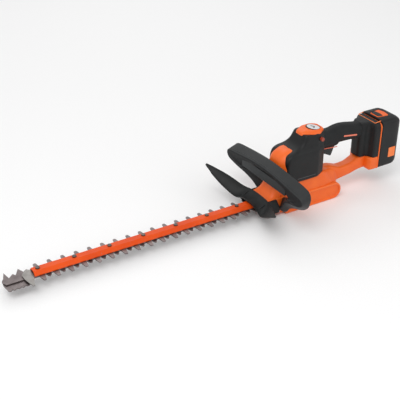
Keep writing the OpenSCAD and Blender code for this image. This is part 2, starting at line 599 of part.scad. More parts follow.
base_cover();
left_gear_housing();
right_gear_housing();
left_rear_arm();
right_rear_arm();
left_nose();
right_nose();
left_motor_cover();
right_motor_cover();
top_cap();
button_bezel();
boost_button();
boost_spring();
left_grip();
right_grip();
grip_inlays();
battery_dock();
dock_frame();
dock_terminals();
front_handle_bar();
left_handle_leg();
right_handle_leg();
front_switch();
switch_springs();
left_guard();
right_guard();
guard_bridge();
upper_blade();
lower_blade();
blade_bar();
tip_guard();
bar_bolts();
bar_bushes();
wear_plate();
lower_gear_case();
upper_gear_case();
crank_shaft();
crank_gear();
upper_cam();
lower_cam();
crank_bearings();
motor_can();
motor_magnets();
motor_brushes();
motor_bearings();
motor_shaft();
armature();
pinion();
cooling_fan();
control_board();
grip_switch();
trigger();
trigger_pin();
lock_off();
housing_screws();
battery_case();
battery_cells();
battery_terminals();
battery_latch();
latch_spring();
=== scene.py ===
# %% [markdown]
# A cordless hedge trimmer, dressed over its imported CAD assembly. Every moving body,
# hole and bolt already has its true place there. This script swaps the moulded
# plastic parts for smooth, crowned shells and gives each material its real finish.

# %% Start: the frame
import math

import bmesh
import bpy
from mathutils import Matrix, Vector


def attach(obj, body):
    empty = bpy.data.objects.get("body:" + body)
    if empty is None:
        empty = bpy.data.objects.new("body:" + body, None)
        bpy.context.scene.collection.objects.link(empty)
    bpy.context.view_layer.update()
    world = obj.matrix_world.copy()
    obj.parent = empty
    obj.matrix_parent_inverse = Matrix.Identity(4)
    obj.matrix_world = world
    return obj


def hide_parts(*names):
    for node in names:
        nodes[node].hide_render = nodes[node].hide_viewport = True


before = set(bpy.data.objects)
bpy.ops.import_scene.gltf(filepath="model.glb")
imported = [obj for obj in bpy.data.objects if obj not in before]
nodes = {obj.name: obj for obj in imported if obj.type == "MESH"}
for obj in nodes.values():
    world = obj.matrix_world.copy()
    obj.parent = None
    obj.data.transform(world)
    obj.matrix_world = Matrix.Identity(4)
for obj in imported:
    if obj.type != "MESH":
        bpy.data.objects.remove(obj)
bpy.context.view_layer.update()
print("CAD nodes:", len(nodes))

# %% [markdown]
# Lengths below are typed in millimetres, as on the drawing of a tool, and one factor
# turns them into Blender's metres. The body's joints are placed by the CAD nodes.

# %% Units and colours
MM = 0.001


def linear(code):
    """An sRGB hex colour as the linear RGBA that a shader works with."""
    parts = [int(code[i:i + 2], 16) / 255 for i in (1, 3, 5)]
    return [c / 12.92 if c <= 0.04045 else ((c + 0.055) / 1.055) ** 2.4 for c in parts] + [1.0]


print("orange in linear light:", [round(c, 3) for c in linear("#F0692F")])

# %% [markdown]
# One helper adds any shader node: its settings go in by name, and each input takes
# either a plain value or another node's output. Everything below is built with it.

# %% Shader helper


def add(tree, kind, inputs=(), **settings):
    n = tree.nodes.new("ShaderNode" + kind)
    for key, value in settings.items():
        setattr(n, key, value)
    for key, value in dict(inputs).items():
        if isinstance(value, bpy.types.NodeSocket):
            tree.links.new(value, n.inputs[key])
        else:
            n.inputs[key].default_value = value
    return n


def start(name):
    m = bpy.data.materials.new(name)
    m.use_nodes = True
    m.node_tree.nodes.clear()
    return m, m.node_tree


def stops(ramp, *pairs):
    """Sets a colour ramp's stops from (position, colour) pairs."""
    e = ramp.color_ramp.elements
    while len(e) < len(pairs):
        e.new(0.5)
    for stop, (place, colour) in zip(e, pairs):
        stop.position = place
        stop.color = colour
    return ramp


def close(m, tree, shader):
    out = add(tree, "OutputMaterial")
    tree.links.new(shader.outputs[0], out.inputs["Surface"])
    return m


print("shader helpers ready")


# %% [markdown]
# The housings are injection-moulded ABS and glass-filled nylon. A mould for such a
# shell is spark eroded, which leaves a fine matte grain of about half a millimetre.
# The colour drifts very slightly where the melt cooled at different speeds. So: two
# noises for tone, a fine one for the grain, and the mesh's own sharpness for a
# painted highlight that lightens the sharp raised edges.

# %% Moulded plastics


def moulded(name, colour, edge, drift, rough, grain_mm=0.55, grain=0.12, coat=0.0, shine=0.5):
    m, t = start(name)
    where = add(t, "TexCoord").outputs["Object"]
    cloud = add(t, "TexNoise", {"Vector": where, "Scale": 1 / (38 * MM), "Detail": 3.0})
    tone = stops(add(t, "ValToRGB", {"Fac": cloud.outputs[0]}),
                 (0.3, linear(drift)), (0.7, linear(colour)))
    # painted highlight: Pointiness picks out the sharp raised edges, and the mix below lightens them
    # towards the edge colour
    wear_and_edge_highlight = stops(add(t, "ValToRGB", {"Fac": add(t, "NewGeometry").outputs["Pointiness"]}),
                 (0.53, (0, 0, 0, 1)), (0.6, (1, 1, 1, 1)))
    paint = add(t, "Mix", {"Factor": wear_and_edge_highlight.outputs[0], "A": tone.outputs[0], "B": linear(edge)},
                data_type="RGBA")
    fine = add(t, "TexNoise", {"Vector": where, "Scale": 1 / (grain_mm * MM), "Detail": 2.0})
    smear = add(t, "TexNoise", {"Vector": where, "Scale": 1 / (14 * MM), "Detail": 4.0})
    matte = add(t, "MapRange", {"Value": smear.outputs[0], "To Min": rough - 0.07, "To Max": rough + 0.07})
    bump = add(t, "Bump", {"Height": fine.outputs[0], "Strength": grain, "Distance": 0.12 * MM})
    return close(m, t, add(t, "BsdfPrincipled", {
        "Base Color": paint.outputs["Result"], "Roughness": matte.outputs[0], "IOR": 1.53,
        "Specular IOR Level": shine, "Coat Weight": coat, "Coat Roughness": 0.25,
        "Normal": bump.outputs[0]}))


# each third colour is the lighter painted highlight on sharp edges
orange_abs = moulded("orange_abs", "#F46C1C", "#F88440", "#EC6012", 0.42, shine=0.4)
black_nylon = moulded("black_glass_filled_nylon", "#141617", "#2A2D2E", "#101112", 0.5, 0.7, 0.2, shine=0.3)
handle_nylon = moulded("handle_nylon", "#27292A", "#3E4143", "#212324", 0.52, 0.8, 0.25, shine=0.35)
guard_nylon = moulded("guard_nylon", "#1E2020", "#3A3D3E", "#191B1B", 0.55, 0.8, 0.25, shine=0.3)
print("plastics:", orange_abs.name, black_nylon.name, handle_nylon.name, guard_nylon.name)

# %% [markdown]
# The rear grip is overmoulded with a soft elastomer. Its mould is pitted with small
# round dimples, about 1.6 mm apart, so that a damp glove holds. Cell noise gives
# the dimples; rubber scatters light broadly, so its roughness is high.

# %% Grip elastomer


def elastomer(name, colour, dusty):
    m, t = start(name)
    where = add(t, "TexCoord").outputs["Object"]
    cells = add(t, "TexVoronoi", {"Vector": where, "Scale": 1 / (1.9 * MM), "Randomness": 0.35})
    pits = stops(add(t, "ValToRGB", {"Fac": cells.outputs["Distance"]}),
                 (0.15, (0, 0, 0, 1)), (0.55, (1, 1, 1, 1)))
    dust = add(t, "TexNoise", {"Vector": where, "Scale": 1 / (22 * MM), "Detail": 5.0})
    tone = stops(add(t, "ValToRGB", {"Fac": dust.outputs[0]}),
                 (0.35, linear(colour)), (0.75, linear(dusty)))
    matte = add(t, "MapRange", {"Value": dust.outputs[0], "To Min": 0.55, "To Max": 0.72})
    bump = add(t, "Bump", {"Height": pits.outputs[0], "Strength": 0.35, "Distance": 0.25 * MM})
    return close(m, t, add(t, "BsdfPrincipled", {
        "Base Color": tone.outputs[0], "Roughness": matte.outputs[0], "IOR": 1.5,
        "Specular IOR Level": 0.3, "Normal": bump.outputs[0]}))


soft_grip = elastomer("grip_elastomer", "#131516", "#1D1F20")
print("elastomer:", soft_grip.name)

# %% [markdown]
# The blade's bar is steel sheet with an orange powder coat: smooth, a little
# pebbled (orange peel about 1.5 mm across), and rubbed thin along its folds where
# bare metal begins to show. Pointiness finds those folds.

# %% Powder-coated bar


def powder_coat(name, colour, deep, bare):
    m, t = start(name)
    where = add(t, "TexCoord").outputs["Object"]
    cloud = add(t, "TexNoise", {"Vector": where, "Scale": 1 / (60 * MM), "Detail": 4.0})
    tone = stops(add(t, "ValToRGB", {"Fac": cloud.outputs[0]}),
                 (0.3, linear(deep)), (0.68, linear(colour)))
    chips = add(t, "TexNoise", {"Vector": where, "Scale": 1 / (2.2 * MM), "Detail": 6.0})
    fold = add(t, "NewGeometry").outputs["Pointiness"]
    both = add(t, "Math", {0: fold, 1: chips.outputs[0]}, operation="ADD")
    wear_and_edge_highlight = add(t, "MapRange", {"Value": both.outputs[0], "From Min": 1.24, "From Max": 1.4, "To Max": 0.7})
    paint = add(t, "Mix", {"Factor": wear_and_edge_highlight.outputs[0], "A": tone.outputs[0], "B": linear(bare)},
                data_type="RGBA")
    peel = add(t, "TexNoise", {"Vector": where, "Scale": 1 / (1.5 * MM), "Detail": 1.0})
    bump = add(t, "Bump", {"Height": peel.outputs[0], "Strength": 0.1, "Distance": 0.1 * MM})
    return close(m, t, add(t, "BsdfPrincipled", {
        "Base Color": paint.outputs["Result"], "Roughness": 0.45, "IOR": 1.5,
        "Specular IOR Level": 0.25, "Normal": bump.outputs[0]}))


bar_orange = powder_coat("powder_coated_steel", "#E8520A", "#DA4604", "#A08C80")
print("bar coat:", bar_orange.name)

# %% [markdown]
# Metals differ by how they were cut. Blades are laser cut and face ground, so they
# carry fine straight scratches across their width; turned and plated parts are
# cleaner; the gear case is die cast, with a soft grain. One function takes the
# scratch direction and strength, because the nodes are the same for all of them.

# %% Metals


def metal(name, colour, dark, rough, scratch=(1, 1, 1), line_mm=0.5, depth=0.15):
    m, t = start(name)
    where = add(t, "TexCoord").outputs["Object"]
    stretched = add(t, "Mapping", {"Vector": where, "Scale": scratch})
    lines = add(t, "TexNoise", {"Vector": stretched.outputs[0], "Scale": 1 / (line_mm * MM), "Detail": 3.0})
    cloud = add(t, "TexNoise", {"Vector": where, "Scale": 1 / (17 * MM), "Detail": 5.0, "Roughness": 0.6})
    tone = stops(add(t, "ValToRGB", {"Fac": cloud.outputs[0]}),
                 (0.32, linear(dark)), (0.66, linear(colour)))
    matte = add(t, "MapRange", {"Value": lines.outputs[0], "To Min": rough - 0.08, "To Max": rough + 0.1})
    bump = add(t, "Bump", {"Height": lines.outputs[0], "Strength": depth, "Distance": 0.1 * MM})
    return close(m, t, add(t, "BsdfPrincipled", {
        "Base Color": tone.outputs[0], "Metallic": 1.0, "Roughness": matte.outputs[0],
        "Normal": bump.outputs[0]}))


ground_steel = metal("ground_blade_steel", "#8D8483", "#736A6A", 0.42, (1, 0.06, 1), 0.7, 0.3)
tip_steel = metal("bare_tip_steel", "#A19E9A", "#8A8784", 0.4, (0.08, 1, 1), 0.7, 0.25)
turned_steel = metal("turned_steel", "#B4B6B9", "#94979B", 0.3, (1, 1, 0.1), 0.4, 0.1)
plated_steel = metal("zinc_plated_steel", "#6A6663", "#504C4A", 0.34, (1, 1, 1), 0.8, 0.12)
cast_alloy = metal("die_cast_aluminium", "#A9ADB2", "#93979C", 0.5, (1, 1, 1), 1.1, 0.3)
copper = metal("tinned_copper", "#C08050", "#A26A3E", 0.32, (1, 1, 0.2), 0.6, 0.1)
ferrite = metal("ferrite", "#3C3C42", "#2E2E33", 0.55, (1, 1, 1), 0.8, 0.2)
# its third colour is the lighter painted highlight on sharp edges
silver_cap = moulded("silver_button_plastic", "#B9BEC3", "#DADDE0", "#A9AEB3", 0.24, 0.4, 0.05, 0.4)
print("metals:", ground_steel.name, turned_steel.name, cast_alloy.name)

# %% [markdown]
# Printed marks are a thin pad-printed ink, so they are only a little smoother than
# the plastic under them. The red control plastic is the same moulded ABS as the
# orange, with more red in the pigment.

# %% Ink and small plastics
# each third colour is the painted highlight on sharp edges; for the ink it equals the ink's own colour
ink_grey = moulded("pad_print_grey", "#4A4A4B", "#4A4A4B", "#3E3D3E", 0.5, 0.4, 0.04)
red_abs = moulded("red_abs", "#E0583A", "#EC7A5E", "#CC4626", 0.35)
# the lock-off's own colour is red; this red is darker than the other red parts, a painted shade for where
# it sits
dark_red = moulded("dark_red_abs", "#7C2614", "#A03C26", "#6A1E10", 0.35)
board_green = moulded("circuit_laminate", "#1E5A35", "#2C7A48", "#184A2B", 0.35, 0.9, 0.08)
cell_wrap = moulded("cell_shrink_wrap", "#3E6E9E", "#5A8ABA", "#356292", 0.3, 2.0, 0.05)
print("inks and small plastics ready")

# %% [markdown]
# Two mesh makers do most of the work. `rounded` takes the corners of an outline,
# each with its own radius, and returns evenly spaced points, always the same number
# for the same number of corners. `skin` joins a row of such outlines into one closed
# shell. Because every outline has matching points, a shell can change its width,
# height and corner softness along its length, as a real moulding does.

# %% Outlines
ARC = 6
SIDE = 5


def rounded(corners, arc=ARC, side=SIDE):
    """Points round an outline of (across, up, radius) corners."""
    pts, n = [], len(corners)
    for i in range(n):
        a, b, c = (Vector(corners[(i + k) % n][:2]) for k in (-1, 0, 1))
        u, v = (a - b), (c - b)
        reach = min(u.length, v.length) * 0.49
        u, v = u.normalized(), v.normalized()
        half = max(math.acos(max(-1, min(1, u.dot(v)))) / 2, 0.05)
        cut = min(corners[i][2] / math.tan(half), reach)
        p, q = b + u * cut, b + v * cut
        if abs(half - math.pi / 2) < 1e-3 or cut < 1e-6:
            pts += [p.lerp(q, k / arc) for k in range(arc + 1)]
            continue
        r = cut * math.tan(half)
        m = b + (u + v).normalized() * (r / math.sin(half))
        s, e = p - m, q - m
        turn = s.angle_signed(e)
        for k in range(arc + 1):
            w = -turn * k / arc
            pts.append(m + Vector((s.x * math.cos(w) - s.y * math.sin(w),
                                   s.x * math.sin(w) + s.y * math.cos(w))))
    out, k = [], arc + 1
    for i in range(n):
        out += pts[i * k:(i + 1) * k]
        a, b = pts[i * k + k - 1], pts[((i + 1) * k) % len(pts)]
        out += [a.lerp(b, j / side) for j in range(1, side)]
    return out


print("points round a four-cornered outline:", len(rounded([(0, 0, 1), (9, 0, 1), (9, 9, 1), (0, 9, 1)])))

# %% [markdown]
# A moulding changes along its length without a step. Only a few sections of it are
# drawn, and a curve that passes through every one of them fills in the rest, so the
# shell stays smooth and each drawn section keeps its exact size.

# %% Curves between sections


def smooth_row(rows, steps):
    """Rows of numbers joined by a smooth curve that passes through each of them."""
    out = []
    for i in range(len(rows) - 1):
        p0, p1, p2, p3 = (rows[max(0, min(len(rows) - 1, i + k))] for k in (-1, 0, 1, 2))
        for s in range(steps):
            t = s / steps
            out.append([0.5 * (2 * b + (c - a) * t + (2 * a - 5 * b + 4 * c - d) * t * t
                               + (3 * b - a - 3 * c + d) * t ** 3)
                        for a, b, c, d in zip(p0, p1, p2, p3)])
    return out + [list(rows[-1])]


print("rows between two sections:", len(smooth_row([[0.0], [1.0]], 4)))

# %% [markdown]
# `skin` joins rings of points into a closed shell and closes its ends, flat or with a
# low dome. Bmesh is used because the points are known exactly. Corners sharper than
# 35 degrees stay crisp, and everything else is shaded smooth, as a polished mould is.

# %% Shells


def skin(name, rings, material, cap=(True, True), dome=0.0):
    """A closed shell through rings of points in millimetres."""
    bm = bmesh.new()
    grid = [[bm.verts.new(Vector(p) * MM) for p in ring] for ring in rings]
    n = len(rings[0])
    for a, b in zip(grid, grid[1:]):
        for i in range(n):
            bm.faces.new((a[i], a[(i + 1) % n], b[(i + 1) % n], b[i]))
    for end, ring, inner in ((0, grid[0], grid[1]), (1, grid[-1], grid[-2])):
        if not cap[end]:
            continue
        mid = sum((v.co for v in ring), Vector()) / n
        out = (mid - sum((v.co for v in inner), Vector()) / n).normalized()
        last = ring
        for k in (0.8, 0.45):
            rise = dome * MM * (1 - k * k)
            new = [bm.verts.new(mid + (v.co - mid) * k + out * rise) for v in ring]
            for i in range(n):
                bm.faces.new((last[i], last[(i + 1) % n], new[(i + 1) % n], new[i]))
            last = new
        tip = bm.verts.new(mid + out * dome * MM)
        for i in range(n):
            bm.faces.new((last[i], last[(i + 1) % n], tip))
    bmesh.ops.remove_doubles(bm, verts=bm.verts, dist=1e-6)
    bmesh.ops.recalc_face_normals(bm, faces=bm.faces)
    return finish_mesh(name, bm, material)


def finish_mesh(name, bm, material, crease=35):
    mesh = bpy.data.meshes.new(name)
    bm.to_mesh(mesh)
    bm.free()
    mesh.materials.append(material)
    mesh.shade_smooth()
    mesh.set_sharp_from_angle(angle=math.radians(crease))
    piece = bpy.data.objects.new(name, mesh)
    bpy.context.scene.collection.objects.link(piece)
    return piece


print("shell makers ready")

# %% [markdown]
# Most shells of this tool are drawn by their sections across its length, or by
# their level sections. These two take such stations and skin them.

# %% Shells from stations


def along_x(name, stations, material, steps=4, cap=(True, True), dome=0.0):
    """A shell whose stations are (x, [(y, z, radius), ...])."""
    rows = [[x] + [v for c in corners for v in c] for x, corners in stations]
    rings = []
    for row in smooth_row(rows, steps):
        x, flat = row[0], row[1:]
        corners = [flat[i:i + 3] for i in range(0, len(flat), 3)]
        rings.append([(x, p.x, p.y) for p in rounded(corners)])
    return skin(name, rings, material, cap, dome)


def along_z(name, stations, material, steps=4, cap=(True, True), dome=0.0):
    """A shell whose stations are (z, [(x, y, radius), ...])."""
    rows = [[z] + [v for c in corners for v in c] for z, corners in stations]
    rings = []
    for row in smooth_row(rows, steps):
        z, flat = row[0], row[1:]
        corners = [flat[i:i + 3] for i in range(0, len(flat), 3)]
        rings.append([(p.x, p.y, z) for p in rounded(corners)])
    return skin(name, rings, material, cap, dome)


print("stations run along the tool or up it")

# %% [markdown]
# Flat pieces are cut from an outline, and raised lines follow a path. A bevel rounds
# the edges of a piece, because no moulded or machined edge is perfectly sharp.
# `fit` hangs a finished piece on the body that carries it.

# %% Plates, lines and edges


def slab(name, outline, place, thick, material, edge=0.4, segments=3):
    """A flat plate: outline points are placed by place(a, b, depth) in millimetres."""
    bm = bmesh.new()
    low = [bm.verts.new(Vector(place(p[0], p[1], 0)) * MM) for p in outline]
    high = [bm.verts.new(Vector(place(p[0], p[1], thick)) * MM) for p in outline]
    bm.faces.new(low[::-1])
    bm.faces.new(high)
    for i in range(len(low)):
        j = (i + 1) % len(low)
        bm.faces.new((low[i], low[j], high[j], high[i]))
    bmesh.ops.recalc_face_normals(bm, faces=bm.faces)
    piece = finish_mesh(name, bm, material, 30)
    if edge:
        soften(piece, edge, segments)
    return piece


def ribbon(name, path, width, material):
    """A thin raised line along a path of points, for a seam or a painted edge."""
    bm = bmesh.new()
    rows = []
    pts = [Vector(p) for p in path]
    for i, p in enumerate(pts):
        ahead = (pts[min(i + 1, len(pts) - 1)] - pts[max(i - 1, 0)]).normalized()
        side = ahead.cross(Vector((0, 0, 1)) if abs(ahead.z) < 0.8 else Vector((1, 0, 0))).normalized()
        up = side.cross(ahead).normalized()
        rows.append([bm.verts.new((p + side * a * width / 2 + up * b * width / 2) * MM)
                     for a, b in ((-1, -0.6), (-0.7, 0.6), (0.7, 0.6), (1, -0.6))])
    for a, b in zip(rows, rows[1:]):
        for i in range(4):
            bm.faces.new((a[i], a[(i + 1) % 4], b[(i + 1) % 4], b[i]))
    bm.faces.new(rows[0])
    bm.faces.new(rows[-1][::-1])
    bmesh.ops.recalc_face_normals(bm, faces=bm.faces)
    return finish_mesh(name, bm, material)


def soften(piece, width, segments=3):
    """Rounds the sharp edges of a piece, as every moulded or machined edge is."""
    b = piece.modifiers.new("soft edges", "BEVEL")
    b.width = width * MM
    b.segments = segments
    b.limit_method = "ANGLE"
    b.angle_limit = math.radians(32)
    b.harden_normals = True


def fit(piece, body, slot, *cad):
    """Hangs a finished piece on its body, in place of its CAD nodes."""
    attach(piece, body)
    if cad:
        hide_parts(*cad)
    print(f"{piece.name}: {len(piece.data.polygons)} faces on {body}")
    return piece


print("plate and line makers ready")


# %% [markdown]
# The camera looks down at the tool from beyond the blade's tip, on the user's right,
# through a portrait lens. The floor is pale paper. Seen from the camera, a wide soft
# light stands on the left, weaker ones on the right and behind, and a pale sky fills
# the shadows.

# %% Camera, floor and light
lens = bpy.data.cameras.new("camera")
lens.lens = 71.95
lens.sensor_width = 36
lens.clip_end = 30
camera = bpy.data.objects.new("camera", lens)
camera.location = (-0.999, -1.299, 0.961)
camera.rotation_euler = Vector((0.4430, 0.7423, -0.5027)).to_track_quat("-Z", "Y").to_euler()
bpy.context.scene.collection.objects.link(camera)
bpy.context.scene.camera = camera

bm = bmesh.new()
bmesh.ops.create_grid(bm, x_segments=8, y_segments=8, size=6)
floor_finish, t = start("studio_paper")
paper = add(t, "TexNoise", {"Vector": add(t, "TexCoord").outputs["Object"], "Scale": 1 / (3 * MM)})
tone = stops(add(t, "ValToRGB", {"Fac": paper.outputs[0]}),
             (0.3, linear("#F6F6F6")), (0.7, linear("#FAFAFA")))
close(floor_finish, t, add(t, "BsdfPrincipled", {"Base Color": tone.outputs[0], "Roughness": 0.9}))
floor = finish_mesh("studio_floor", bm, floor_finish)
floor.location.z = -0.1 * MM


def softbox(name, place, aim, size, watts):
    lamp = bpy.data.lights.new(name, "AREA")
    lamp.shape = "RECTANGLE"
    lamp.size, lamp.size_y = size
    lamp.energy = watts
    o = bpy.data.objects.new(name, lamp)
    o.location = place
    o.rotation_euler = (Vector(aim) - Vector(place)).to_track_quat("-Z", "Y").to_euler()
    bpy.context.scene.collection.objects.link(o)


softbox("key", (-1.4, -0.9, 2.3), (-0.1, 0, 0.1), (1.6, 1.6), 26)
softbox("fill", (1.6, -1.9, 1.3), (0.05, 0, 0.1), (1.8, 1.2), 9)
softbox("back", (0.6, 2.2, 1.8), (0, 0, 0.1), (2.0, 1.0), 9)
sky = bpy.data.worlds.new("studio")
sky.use_nodes = True
sky.node_tree.nodes["Background"].inputs[0].default_value = (1, 1, 1, 1)
sky.node_tree.nodes["Background"].inputs[1].default_value = 0.7
bpy.context.scene.world = sky
bpy.context.scene.view_settings.view_transform = "Standard"
print("camera at", [round(c, 3) for c in camera.location])

# %% [markdown]
# The cutting gear stays as it was machined in the CAD: two toothed blades, the bar
# over them, bolts and the saw tip, and so does all that works inside. Laser-cut steel
# has a tiny broken edge, so each gets a small bevel that catches a line of light, and
# its own metal.

# %% Blades, bar and bolts
metal_nodes = {
    "upper_blade": (ground_steel, 0.25), "lower_blade": (ground_steel, 0.25),
    "tip_guard": (tip_steel, 0.35), "blade_bar": (bar_orange, 0.5), "bar_bolts": (plated_steel, 0.4),
    "bar_bushes": (plated_steel, 0), "wear_plate": (turned_steel, 0), "lower_gear_case": (cast_alloy, 0.4),
    "upper_gear_case": (cast_alloy, 0.4), "crank_shaft": (turned_steel, 0), "crank_gear": (turned_steel, 0),
    "upper_cam": (turned_steel, 0.2), "lower_cam": (turned_steel, 0.2),
    "crank_bearings": (plated_steel, 0.3),
    "motor_can": (plated_steel, 0.5), "motor_magnets": (ferrite, 0), "motor_brushes": (ferrite, 0),
    "motor_bearings": (plated_steel, 0.2), "motor_shaft": (turned_steel, 0.2), "armature": (copper, 0),
    "pinion": (turned_steel, 0), "cooling_fan": (black_nylon, 0), "control_board": (board_green, 0),
    "grip_switch": (black_nylon, 0.4), "trigger_pin": (turned_steel, 0),
    "housing_screws": (plated_steel, 0.3),
    "dock_terminals": (copper, 0.1), "battery_terminals": (copper, 0.1), "battery_cells": (cell_wrap, 0.6),
    "boost_spring": (plated_steel, 0), "switch_springs": (plated_steel, 0),
    "latch_spring": (plated_steel, 0),
}
for name, (finish, edge) in metal_nodes.items():
    nodes[name].data.materials.clear()
    nodes[name].data.materials.append(finish)
    if edge:
        soften(nodes[name], edge, 2)
print("kept from the CAD with a new finish:", len(metal_nodes))

# %% [markdown]
# The front handle is a closed loop of glass-filled nylon: a broad band over the top
# for the leading hand and two legs that sweep back into the body. Each station of
# the loop is a four-sided ring with its own corners in space, so the band can tilt,
# widen and curl without a sculpting tool.

# %% Front handle


def band(name, stations, material, radius, steps=5):
    """Stations are outer-front, outer-back, inner-back and inner-front corner points."""
    rings = []
    for row in smooth_row([[v for c in s for v in c] for s in stations], steps):
        a, b, c, d = (Vector(row[i:i + 3]) for i in (0, 3, 6, 9))
        mid = (a + b + c + d) / 4
        u = ((b - a) + (c - d)).normalized()
        v = ((a - d) + (b - c))
        v = (v - u * v.dot(u)).normalized()
        flat = [((p - mid).dot(u), (p - mid).dot(v), radius) for p in (a, b, c, d)]
        w = [(p - mid) - u * f[0] - v * f[1] for p, f in zip((a, b, c, d), flat)]
        lift = sum(w, Vector()) / 4
        rings.append([mid + lift + u * p.x + v * p.y for p in rounded(flat[::-1])])
    return skin(name, rings, material)


half_loop = [
    ((-62, 0, 116.5), (-34, 0, 131), (-34, 0, 105), (-55, 0, 103)),
    ((-62, 40, 115), (-34, 40, 129.5), (-34, 40, 104), (-55, 38, 101.5)),
    ((-62, 75, 111.5), (-34, 75, 126.5), (-34, 64, 100), (-55, 66, 96)),
    ((-62, 102, 108), (-34, 102, 122.5), (-34, 70, 92), (-55, 84, 90)),
    ((-61.5, 126, 105), (-34, 124, 119.5), (-33, 71, 85), (-56, 92, 85)),
    ((-61, 143, 101), (-34, 141, 115), (-32, 71, 79), (-57, 95, 82)),
    ((-60, 149, 95), (-34, 148.5, 103), (-31, 71, 74), (-60, 96, 80)),
    ((-60, 148, 88), (-34, 146, 86), (-30, 71, 69), (-59, 94, 79)),
    ((-60, 141, 83), (-33, 139, 72), (-29, 70, 65), (-57, 90, 78)),
    ((-59, 124, 78), (-31.5, 124, 59), (-27, 69, 61), (-53, 84, 76)),
    ((-57, 104, 73), (-30, 108, 50.5), (-24, 66, 58), (-47, 75, 72)),
    ((-51, 82, 64), (-27, 88, 42), (-20, 60, 53), (-38, 63, 65)),
    ((-43, 62, 50), (-24, 66, 29), (-16, 53, 48), (-30, 52, 57)),
    ((-36, 48, 32), (-20, 50, 10.5), (-13, 44, 44), (-25, 43, 50)),
    ((-32, 32, 16), (-16, 38, 2.5), (-12, 30, 40), (-22, 30, 45)),
]
loop = [[(p[0], -p[1], p[2]) for p in s] for s in half_loop[:0:-1]] + half_loop
handle = band("front_handle", loop, handle_nylon, 3.2)
handle.data.materials.append(soft_grip)
shaded_front_facing, shaded_front_foot = -0.72, 80   # how squarely a shaded front face looks forward, its lowest z
for face in handle.data.polygons:
    # painted shade: the band's forward-facing faces take the dark grip elastomer, standing for the shade of
    # the undercut front
    if face.normal.x < shaded_front_facing and face.center.z > shaded_front_foot * MM:
        face.material_index = 1
fit(handle, "housing", "black_shell", "front_handle_bar", "left_handle_leg", "right_handle_leg")
# the parting line runs over the top, from one far corner to the other
top_edges = smooth_row([[v for c in s[:2] for v in c] for s in loop[9:20]], 5)
seam = [Vector(e[:3]).lerp(Vector(e[3:]), 0.24) for e in top_edges]
fit(ribbon("handle_seam", seam, 1.3, black_nylon), "housing", "black_shell")

# %% [markdown]
# The wing guard keeps hands off the blade. It is a thin swept leaf each side, hollow
# towards the blade and stiffened by a rolled rim, joined by a bridge over the bar.

# %% Wing guard
guard_rows = [
    # distance out, top edge (x, z), bottom edge (x, z), thickness
    (0, -64, 46.5, -99, 41.5, 3.4), (18, -64.5, 46.5, -98.5, 40.5, 3.4), (34, -65.5, 46.5, -97, 34, 3.2),
    (46, -70, 47.5, -98, 29.5, 3.0), (58, -76.5, 52, -102, 31, 2.8), (72, -84, 59, -108, 38, 2.6),
    (86, -91.5, 65, -113.5, 46, 2.5), (100, -99, 70, -118, 54.5, 2.4), (114, -106.5, 74, -121.5, 62.5, 2.3),
    (124, -112.5, 77.5, -122.5, 69, 2.2), (135, -118.5, 80.2, -124, 75, 2.0),
    (141.5, -121, 81, -123.6, 78, 1.6)]


def guard(name, rows):
    """A leaf whose sheet leans forward at its foot, hollow in front, with a rolled rim."""
    rings, n = [], 14
    for y, xt, zt, xb, zb, thick in rows:
        top, foot = Vector((xt, zt)), Vector((xb, zb))
        run = foot - top
        across = Vector((run.y, -run.x)).normalized()
        if across.x > 0:
            across = -across
        front, back = [], []
        for k in range(n + 1):
            f = k / n
            sag = -0.11 * run.length * 4 * f * (1 - f)
            grow = 0.9 if k in (0, n) else 0.45 if k in (1, n - 1) else 0
            m = top + run * f + across * sag
            front.append((m.x + across.x * (thick / 2 + grow), y, m.y + across.y * (thick / 2 + grow)))
            back.append((m.x - across.x * thick / 2, y, m.y - across.y * thick / 2))
        rings.append(front + back[::-1])
    piece = skin(name, rings, guard_nylon)
    soften(piece, 0.7, 3)
    return piece


half_guard = smooth_row(guard_rows, 4)
both = [[-r[0]] + r[1:] for r in half_guard[:0:-1]] + half_guard
fit(guard("wing_guard", both), "housing", "black_shell", "left_guard", "right_guard", "guard_bridge")
for hand, side_name in ((1, "left"), (-1, "right")):
    web = [(-97, 33), (-66, 46), (-42, 46), (-30, 20), (-34, 9), (-66, 9), (-84, 20)]
    outline = rounded([(a, b, 4) for a, b in web], 4, 3)
    cheek = slab(f"guard_cheek_{side_name}", outline, lambda a, b, d, h=hand: (a, h * (33.6 + d), b), 2.8,
                 guard_nylon, 0.8, 3)
    fit(cheek, "housing", "black_shell")

# %% [markdown]
# The lower housing is one orange moulding round the gear case. Its section starts
# as a rounded box, and its shoulders lean in towards the motor cover.

# %% Gear housing


def box_ring(half, low, high, r_low, r_high, lean=0.0):
    return [(-half, low, r_low), (half, low, r_low), (half - lean, high, r_high),
            (-half + lean, high, r_high)]


def six_ring(half, low, waist, high, lean, r_low=3, r_waist=12, r_high=3):
    return [(-half, low, r_low), (half, low, r_low), (half, waist, r_waist), (half - lean, high, r_high),
            (-half + lean, high, r_high), (-half, waist, r_waist)]


gear_shell = along_x("gear_housing", [
    (-42.4, six_ring(14, 3, 40, 72, 3)),
    (-40, six_ring(19, 1.5, 44, 74, 3)),
    (-32, six_ring(27, 0.6, 47, 74.5, 3)),
    (-18, six_ring(34.4, 0.4, 48, 74.5, 3, 11)),
    (10, six_ring(35, 0.4, 48, 74.5, 3, 8)),
    (60, six_ring(35, 0.4, 48, 75, 3)),
    (90, six_ring(35, 0.6, 48, 78, 4)),
    (104, six_ring(34.5, 1, 48, 78.5, 8, 4, 14, 8)),
    (116, six_ring(32.5, 4, 46, 75, 13, 6, 14, 9)),
    (127, six_ring(29, 11, 42, 72, 13, 8, 12, 8)),
    (137, six_ring(25, 19, 42, 68, 10, 8, 12, 8)),
    (145, six_ring(20, 28, 42, 63, 6, 8, 8, 8)),
], orange_abs, 4)
fit(gear_shell, "housing", "orange_shell", "left_gear_housing", "right_gear_housing", "base_cover")
